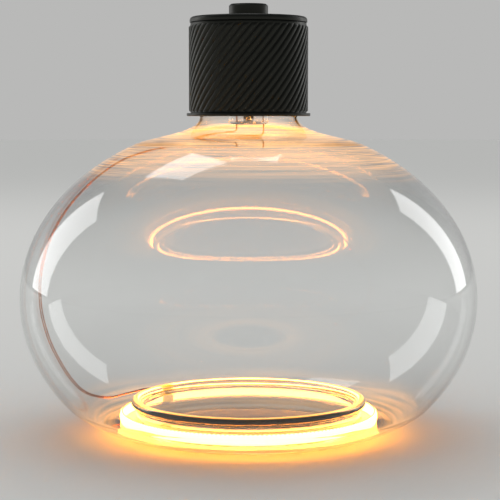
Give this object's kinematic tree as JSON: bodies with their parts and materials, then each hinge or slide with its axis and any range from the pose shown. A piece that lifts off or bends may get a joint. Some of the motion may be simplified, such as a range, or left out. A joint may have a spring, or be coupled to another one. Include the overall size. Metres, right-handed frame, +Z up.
{
  "type": "led filament bulb",
  "caption": "Squat clear glass globe lamp with a glowing LED ring on its floor, screwed into a black knurled lampholder.",
  "frame": {"origin": "centre of the glass foot ring, on the surface that the lamp stands on", "axes": "+Z up along the common axis of globe, screw cap and holder; -Y is the side the viewer faces"},
  "size_m": [0.2, 0.2, 0.188],
  "materials": {
    "clear_glass": "blown, clear",
    "stem_glass": "drawn tube, clear",
    "strip_metal": "flexible strip, satin",
    "lit_silicone": "silicone with phosphor, lit warm",
    "nickel": "nickel plated",
    "nickel_brass": "rolled, nickel plated",
    "copper": "bare copper-coloured wire",
    "black_glass": "pressed black glass",
    "brass": "stamped",
    "cement": "baked cement, rough",
    "board": "epoxy board with green solder mask",
    "capacitor_sleeve": "shrink sleeve",
    "ferrite": "ferrite core",
    "resistor_lacquer": "lacquered",
    "black_epoxy": "moulded epoxy",
    "black_metal": "turned, satin black finish",
    "ceramic": "glazed porcelain",
    "steel": "zinc plated"
  },
  "bodies": {
    "bulb": {"glass_envelope": "clear_glass", "stem": "stem_glass", "led_strip": "strip_metal", "phosphor_band_outer": "lit_silicone", "phosphor_band_inner": "lit_silicone", "strip_joint": "nickel", "lead_wire_plus": "copper", "lead_wire_minus": "copper", "cap_shell": "nickel_brass", "cap_insulator": "black_glass", "cap_contact": "brass", "cap_cement": "cement", "driver_board": "board", "contact_wire": "copper", "shell_wire": "copper", "smoothing_capacitor": "capacitor_sleeve", "choke": "ferrite", "fuse_resistor": "resistor_lacquer", "bridge_rectifier": "black_epoxy", "driver_chip": "black_epoxy"},
    "bush": {"entry_bush": "black_metal"},
    "holder": {"knurled_skirt": "black_metal", "holder_shell": "brass", "holder_insert": "ceramic", "holder_contact": "brass", "insert_screws": "steel", "top_cap": "black_metal", "terminal_live": "brass", "terminal_neutral": "brass", "terminal_screws": "steel"}
  },
  "joints": [
    {"name": "unscrew_travel", "type": "slide", "parent": "bulb", "child": "bush", "axis": [0, 0, 1], "range_m": [0, 0.0146]},
    {"name": "unscrew_turn", "type": "hinge", "parent": "bush", "child": "holder", "pos_m": [0, 0, 0.16], "axis": [0, 0, 1], "range_deg": [0, 1440]}
  ],
  "couplings": [
    {"joint": "unscrew_travel", "follows": "unscrew_turn", "m_per_rad": 0.00057757}
  ]
}
